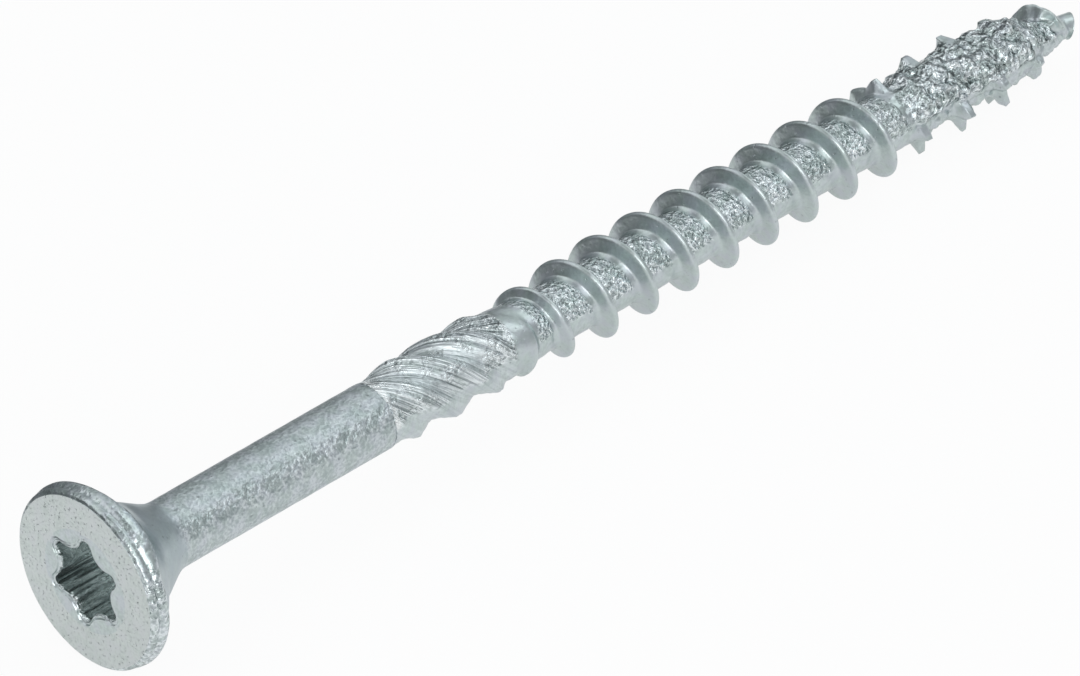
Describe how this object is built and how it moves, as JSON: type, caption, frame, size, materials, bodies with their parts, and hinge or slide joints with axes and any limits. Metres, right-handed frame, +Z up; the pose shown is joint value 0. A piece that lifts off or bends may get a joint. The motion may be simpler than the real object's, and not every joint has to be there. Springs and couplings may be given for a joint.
{
  "type": "construction screw",
  "caption": "Countersunk zinc-plated wood screw with a six-lobe socket, plain shank, milling ribs, coarse partial thread and a serrated point, lying on its side.",
  "frame": {"origin": "on the surface that the screw lies on, under the middle of its bounding box", "axes": "+X from the head towards the point, +Z up; the screw's own axis dips 2.54 degrees towards the point, because it lies on the rim of its head and on the crests near its point"},
  "size_m": [0.0802, 0.0116, 0.0115],
  "materials": {
    "zinc_steel": "blue-white zinc plating over rolled steel, satin on the head face and grainy on the shank and in the thread"
  },
  "bodies": {
    "root": {"screw": "zinc_steel"}
  },
  "joints": []
}
